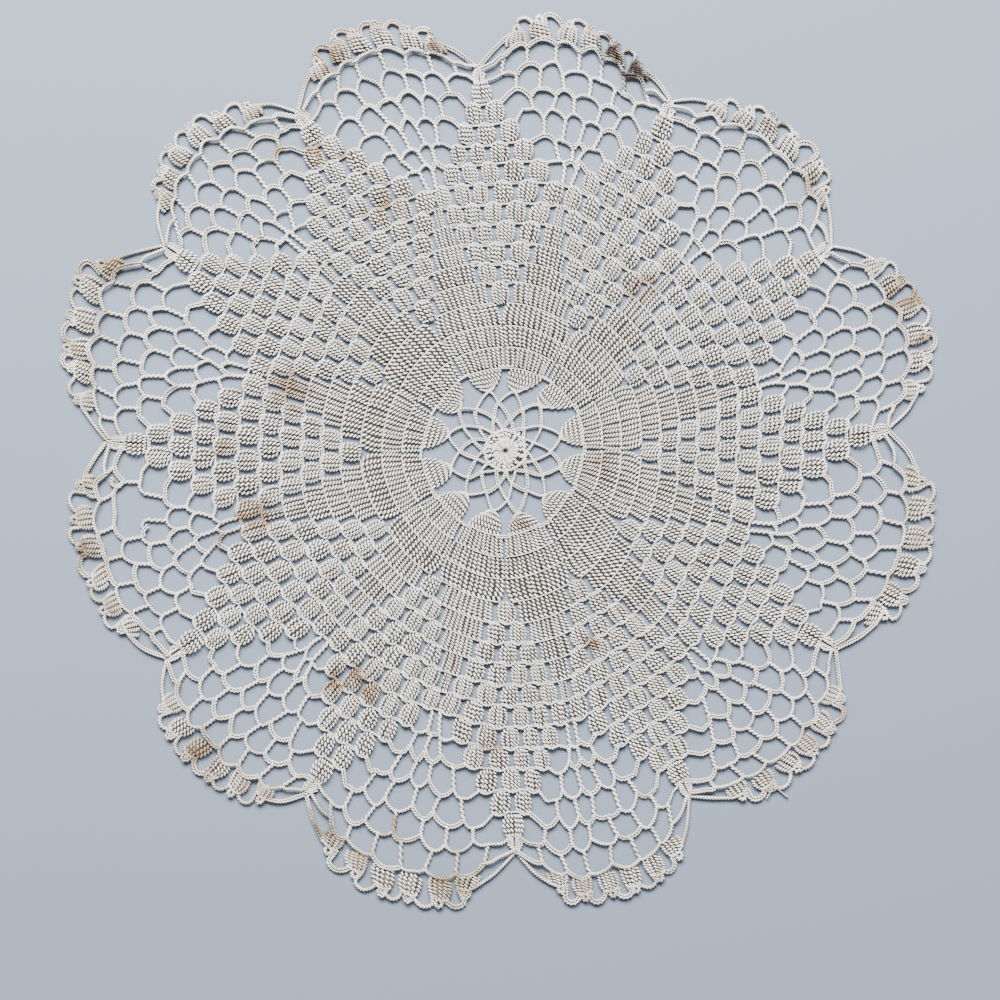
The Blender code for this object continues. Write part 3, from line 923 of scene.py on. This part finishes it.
# %% Lay the edging
LAST_NET = NET_ROUNDS[-1]
EDGE_PITCH = 2 * net_half_turn(LAST_NET) / LAST_NET.cells
EDGE_POSTS, EDGE_POST_PITCH = 5, 1.62
EDGE_SPREAD = (0.98, 1.06, 0.74)
EDGE_CORNER, EDGE_BULGE = 0.7, 0.8
EDGE_LEAN = 1.5  # how far a block leans aside, at most
EDGE_CORD = 1.9  # width of the loops and picots
PICOT_ROOM = 1.7  # a block's height includes this much for its picot
LOOP_DROP = 1.6  # the shoulders of a loop lie this much lower than its top
PICOT = ((-0.7, 0.1), (-1.1, 1.3), (0.0, 2.3), (1.1, 1.3), (0.7, 0.1))  # aside, out
for sector in range(SECTORS):
    middle_line = middle_of(sector)
    last = len(EDGE_BLOCK_HEIGHTS) - 1
    blocks = []
    for block, height in enumerate(EDGE_BLOCK_HEIGHTS):
        off = EDGE_PITCH * (block - last / 2)
        low = arch_top(LAST_NET, off) - 0.2
        top = low + height + random.uniform(-0.8, 0.5) - PICOT_ROOM
        lean = stray(EDGE_LEAN)
        late, early = lay_row("edging", middle_line + off, low, top, EDGE_POSTS, EDGE_POST_PITCH,
                              spread=EDGE_SPREAD, bulge=EDGE_BULGE, corner=EDGE_CORNER, lean=lean,
                              heads=BLOCK_HEADS)
        blocks.append((early, late))
        lay_cord("edging", [at(middle_line + off, top + out, lean * 1.1 + aside, MID_HEIGHT + 0.4)
                            for aside, out in PICOT], width=EDGE_CORD, core=1.2)
    for block in range(last):
        off = EDGE_PITCH * (block + 0.5 - last / 2)
        height = (EDGE_BLOCK_HEIGHTS[block] + EDGE_BLOCK_HEIGHTS[block + 1]) / 2
        loop_top = arch_top(LAST_NET, off) + height + 1.2 + random.uniform(-0.9, 0.7)
        tip = stray(0.8)
        half_width = random.uniform(2.6, 3.4)
        shoulder = loop_top - LOOP_DROP
        points = [at(middle_line + off, reach, aside)
                  for reach, aside in ((shoulder, tip - half_width), (loop_top, tip),
                                       (shoulder, tip + half_width))]
        lay_cord("edging", [blocks[block][1], *points, blocks[block + 1][0]], width=EDGE_CORD,
                 lift=0.1)
    for side, corner in ((-1, blocks[0][0]), (1, blocks[-1][1])):
        valley = middle_line + side * HALF_SECTOR
        joint = at(valley, VALLEY_REACH + VALLEY_CORD_RISE - 1.0, -side * 0.5)
        bow = 1 + random.uniform(0.0, 0.012)
        halfway = [between(a, b, 0.5) * grow for a, b, grow in zip(joint, corner, (bow, bow, 1.0))]
        lay_cord("edging", [joint, halfway, corner], width=1.6)
        tip = at(valley, TIP_HIGH, -side * 0.9)
        end = 0 if side < 0 else LAST_NET.cells
        last_joint = net_point(sector, len(NET_ROUNDS) - 1, end)
        lay_cord("edging", [tip, at(valley, TIP_HIGH + 2.4, -side * 2.2), last_joint], width=1.6)
        lay_cord("edging", [tip, at(valley, VALLEY_REACH - 1.5, -side * 0.8), joint], width=1.5)
tell("edging")

# %% [markdown]
# ## Broken threads
#
# Three cells of the net have torn into one: the chain has gone and its broken ends stand
# free, one of them curled. On the opposite side a few loose strands stick out of the edge.

# %% Lay the broken ends
# Each row is one end, as points of turn and reach. The stubs stand in the torn cell, and the
# thin strands at the edge.
STUBS = (
    ((191.8, 133.3), (192.5, 135.6), (193.4, 135.6)),
    ((184.6, 139.8), (185.3, 142.0), (184.6, 144.6), (183.9, 143.6)),
)
STRANDS = (
    ((309.0, 153.4), (308.2, 157.0), (306.9, 158.9)),
    ((308.9, 154.0), (308.8, 157.3), (309.2, 163.0)),
    ((307.1, 149.3), (307.5, 150.9), (308.6, 152.6)),
)
for ends, height, width, core in ((STUBS, 1.3, 1.5, CORE_WIDTH), (STRANDS, 1.0, 0.5, 0.3)):
    for end in ends:
        lay_cord("loose_ends", [polar(turn, reach, height) for turn, reach in end], width, core=core)
tell("loose_ends")

# %% [markdown]
# ## The pieces
#
# The stitches of each part are joined to one mesh, eleven in all. The ground under the rows and
# the cores of the cords are one more, and that is the sheet that the others are worked on. It is
# painted all dark, as painted shade between the stitches.

# %% Sew the pieces together
pieces = [sewn(name) for name in sorted(PIECES)]


def ground_piece():
    """All slabs and cores as one mesh of four-cornered faces."""
    firsts = np.cumsum([0] + [len(points) for points, _ in GROUND[:-1]])
    points = np.concatenate([points for points, _ in GROUND])
    faces = np.concatenate([faces + first for (_, faces), first in zip(GROUND, firsts)])
    # No painted light on the ground and the cores: they are painted all in the dark grey of painted
    # shade.
    crest, shade = np.full(len(points), 0.0), np.full(len(points), 0.5)
    return mesh_from("thread_ground", points, faces.ravel(), np.full(len(faces), 4), crest, shade)


ground = ground_piece()
print("stitches:", sum(len(stitches) for stitches in PIECES.values()))
print("triangles:", sum(len(face.vertices) - 2 for made in pieces + [ground]
                        for face in made.data.polygons))

# %% [markdown]
# ## Cotton
#
# The thread is undyed mercerised crochet cotton, once off-white. Cotton is matt with a soft
# rim of fuzz and almost no gloss. Each turn is painted darker grey down its sides and where it
# dives under its neighbours, as painted shade, and the thread has a few brown and yellow spots.

# %% A colour from its hex value, and the functions that add nodes
def linear(hex_colour):
    channels = [int(hex_colour[n:n + 2], 16) / 255 for n in (1, 3, 5)]
    made = [c / 12.92 if c <= 0.04045 else ((c + 0.055) / 1.055) ** 2.4 for c in channels]
    return (*made, 1.0)


def new_material(name, **look):
    """A material and its shader. look: the shader's inputs, with _ for each space."""
    material = bpy.data.materials.new(name)
    material.use_nodes = True
    shader = material.node_tree.nodes["Principled BSDF"]
    for socket, value in look.items():
        shader.inputs[socket.replace("_", " ")].default_value = value
    return material, shader


def add_node(material, kind, inputs=(), **settings):
    """Add a shader node. inputs are pairs: a socket's name or number, and a value or output."""
    node = material.node_tree.nodes.new("ShaderNode" + kind)
    for name, value in settings.items():
        setattr(node, name, value)
    for socket, value in inputs:
        if isinstance(value, bpy.types.NodeSocket):
            material.node_tree.links.new(value, node.inputs[socket])
        else:
            node.inputs[socket].default_value = value
    return node


def patchy(material, where, size, detail=2.0):
    """Noise from 0 to 1, in patches of about a size in millimetres."""
    return add_node(material, "TexNoise",
                    [("Vector", where), ("Scale", 1 / size), ("Detail", detail)]).outputs["Fac"]


def spread_over(material, value, low, high, first=0.0, last=1.0):
    """first up to the low value, last from the high one on, and even in between."""
    return add_node(material, "MapRange",
                    [("Value", value), ("From Min", low), ("From Max", high),
                     ("To Min", first), ("To Max", last)]).outputs["Result"]


def mixed(material, share, first, second, blend="MIX"):
    """The first colour, and a share of the second over it."""
    return add_node(material, "MixRGB", [("Fac", share), ("Color1", first), ("Color2", second)],
                    blend_type=blend).outputs["Color"]


# %% The stains, in millimetres from the centre
Stain = namedtuple("Stain", "x y across colour strength")
STAINS = [Stain(*row) for row in (
    (39, 146, 13, "#3E2A22", 0.97),
    (47, 137, 13, "#3E2A22", 0.97),
    (97, 120, 7, "#6B4A3E", 0.85),
    (-63.5, -85, 10, "#A9825A", 0.9),
    (-55.5, -82, 9, "#A9825A", 0.85),
    (-49, -87, 9, "#AE8A60", 0.85),
    (-79, 22, 15, "#B4906A", 0.8),
    (-92, -24, 14, "#B4926C", 0.85),
    (-104, -32, 9, "#A68E76", 0.7),
    (-103, 3, 9, "#C9B694", 0.7),
    (31, -73, 8, "#A07A55", 0.9),
    (49, 60, 12, "#C2A67C", 0.7),
    (-44, 90, 12, "#BFA478", 0.7),
    (-69, 109, 9, "#B08860", 0.85),
    (-59, 109, 6, "#B99E7A", 0.75),
    (-84, 109, 12, "#BF9F70", 0.8),
    (-5, -107, 8, "#AE8A68", 0.8),
    (-68, -138, 14, "#9C7E5E", 0.85),
    (-19, -156, 17, "#B4A271", 0.8),
    (-40, -136, 10, "#B08048", 0.85),
    (-64, 144, 11, "#A98456", 0.85),
    (-25, 148, 9, "#8A6558", 0.8),
    (145, 58, 17, "#AD9372", 0.8),
    (153, 41, 7, "#9C7A5C", 0.8),
    (-142, 67, 18, "#B09A76", 0.8),
    (-152, -10, 11, "#C2AE84", 0.7),
    (-153, -36, 11, "#AA9478", 0.8),
    (-110, -109, 16, "#A99274", 0.8),
    (108, 97, 14, "#B29A7A", 0.7),
    (35, -4, 8, "#C9B39A", 0.6),
    (5, -27, 7, "#B79C80", 0.7),
)]


# %% Make the cotton
DIRT_FROM, DIRT_FULL = 136, 158  # reach where the edging's dirt starts and is full
STAIN_HEART, STAIN_RIM = 0.2, 0.7  # shares of a stain's size where it fades and ends
cotton, shader = new_material(
    "mercerised_crochet_cotton", Roughness=0.88, IOR=1.5, Specular_IOR_Level=0.35,
    Sheen_Weight=0.15, Sheen_Roughness=0.5)
coordinates = add_node(cotton, "TexCoord")
here = add_node(cotton, "Mapping", [("Vector", coordinates.outputs["Object"]),
                                    ("Scale", (1 / MM, 1 / MM, 1 / MM))]).outputs["Vector"]

# Off-white, a little warmer in wide patches, and each stitch a little lighter or darker.
aged = mixed(cotton, spread_over(cotton, patchy(cotton, here, 22), 0.35, 0.65),
             linear("#F3EEE6"), linear("#E9E1D4"))
shade = add_node(cotton, "Attribute", attribute_name="shade").outputs["Fac"]
clean = mixed(cotton, spread_over(cotton, shade, 0, 1, last=0.5), aged, linear("#FDFBF6"))

# Painted shade: dark grey where a turn dives under its neighbours and down its lower sides, lightest on
# its top, which makes the stitches stand out.
crest = add_node(cotton, "Attribute", attribute_name="crest").outputs["Fac"]
# This mixes the dark grey of painted shade over the cotton, by how lit each point is painted.
colour = mixed(cotton, spread_over(cotton, crest, 0.1, 0.95), linear("#2A2622"), clean)

# %% Soil and stain it
# Brownish dirt on the edging, in patches of about a block.
reach = add_node(cotton, "VectorMath", [(0, here)], operation="LENGTH")
rim_share = spread_over(cotton, reach.outputs["Value"], DIRT_FROM, DIRT_FULL)
specks = spread_over(cotton, patchy(cotton, here, 9), 0.42, 0.66, last=0.75)
dirt = add_node(cotton, "Math", [(0, rim_share), (1, specks)], operation="MULTIPLY")
colour = mixed(cotton, dirt.outputs["Value"], colour, linear("#A08D76"))

# Each stain fades out over an edge that is ragged by up to 3 mm.
ragged = spread_over(cotton, patchy(cotton, here, 3), 0.3, 0.7, -3.0, 3.0)
for stain in STAINS:
    away = add_node(cotton, "VectorMath", [(0, here), (1, (stain.x, stain.y, 0.0))],
                    operation="DISTANCE")
    edge = add_node(cotton, "Math", [(0, away.outputs["Value"]), (1, ragged)], operation="ADD")
    share = spread_over(cotton, edge.outputs["Value"], stain.across * STAIN_HEART,
                        stain.across * STAIN_RIM, stain.strength, 0.0)
    colour = mixed(cotton, share, colour, linear(stain.colour), "MULTIPLY")
cotton.node_tree.links.new(colour, shader.inputs["Base Color"])

# %% Give it the fine grain of its plies
bump = add_node(cotton, "Bump", [("Height", patchy(cotton, here, 0.28, detail=4.0)),
                                 ("Strength", 0.5), ("Distance", 0.12 * MM)])
cotton.node_tree.links.new(bump.outputs["Normal"], shader.inputs["Normal"])

# %% Dress every piece in it
for piece in pieces + [ground]:
    piece.data.materials.append(cotton)
    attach(piece, "root")
    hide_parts("doily")
print("the cotton's look has", len(cotton.node_tree.nodes), "nodes")

# %% [markdown]
# ## The table, the light and the camera
#
# The doily lies on a plain pale table under one large soft light from the far side, which
# rakes over the stitches. The camera looks straight down.

# %% Lay the table
nothing_selected()
bpy.ops.mesh.primitive_plane_add(size=4.0, location=(0, 0, 0))
table_top = bpy.context.object
table_top.name = "table_top"
paint = new_material("matt_painted_table", Base_Color=linear("#7C8796"), Roughness=0.9)[0]
table_top.data.materials.append(paint)
table_top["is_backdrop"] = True

# %% Light it
sky = bpy.data.worlds.new("soft_studio")
sky.use_nodes = True
glow = sky.node_tree.nodes["Background"].inputs
glow["Color"].default_value, glow["Strength"].default_value = linear("#E8EDF5"), 0.42
bpy.context.scene.world = sky
lamp = bpy.data.lights.new("window_light", "AREA")
lamp.shape, lamp.size, lamp.size_y = "RECTANGLE", 1.2, 0.6
lamp.energy = 98.0
window = bpy.data.objects.new("window_light", lamp)
window.location = (-0.15, 1.0, 0.95)
window.rotation_euler = (math.radians(-46), 0, math.radians(-8))
bpy.context.collection.objects.link(window)

# %% Set up the camera
VIEW_WIDTH = 0.365  # of the table, in metres, at the height of the thread
LENS, SENSOR = 60.0, 36.0
THREAD_TOP = 0.0015
lens = bpy.data.cameras.new("overhead")
lens.lens, lens.sensor_width = LENS, SENSOR
camera = bpy.data.objects.new("overhead", lens)
camera.location = (-0.002, -0.0179, VIEW_WIDTH * LENS / SENSOR + THREAD_TOP)
bpy.context.collection.objects.link(camera)
bpy.context.scene.camera = camera
print("the camera stands", round(camera.location.z, 3), "m above the table")

# %% [markdown]
# ## How large the dressed doily is
#
# The doily is one laid sheet. Its box is measured here, without the table.

low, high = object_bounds()
print("dressed box in mm:", [round(1000 * side, 1) for side in high - low])
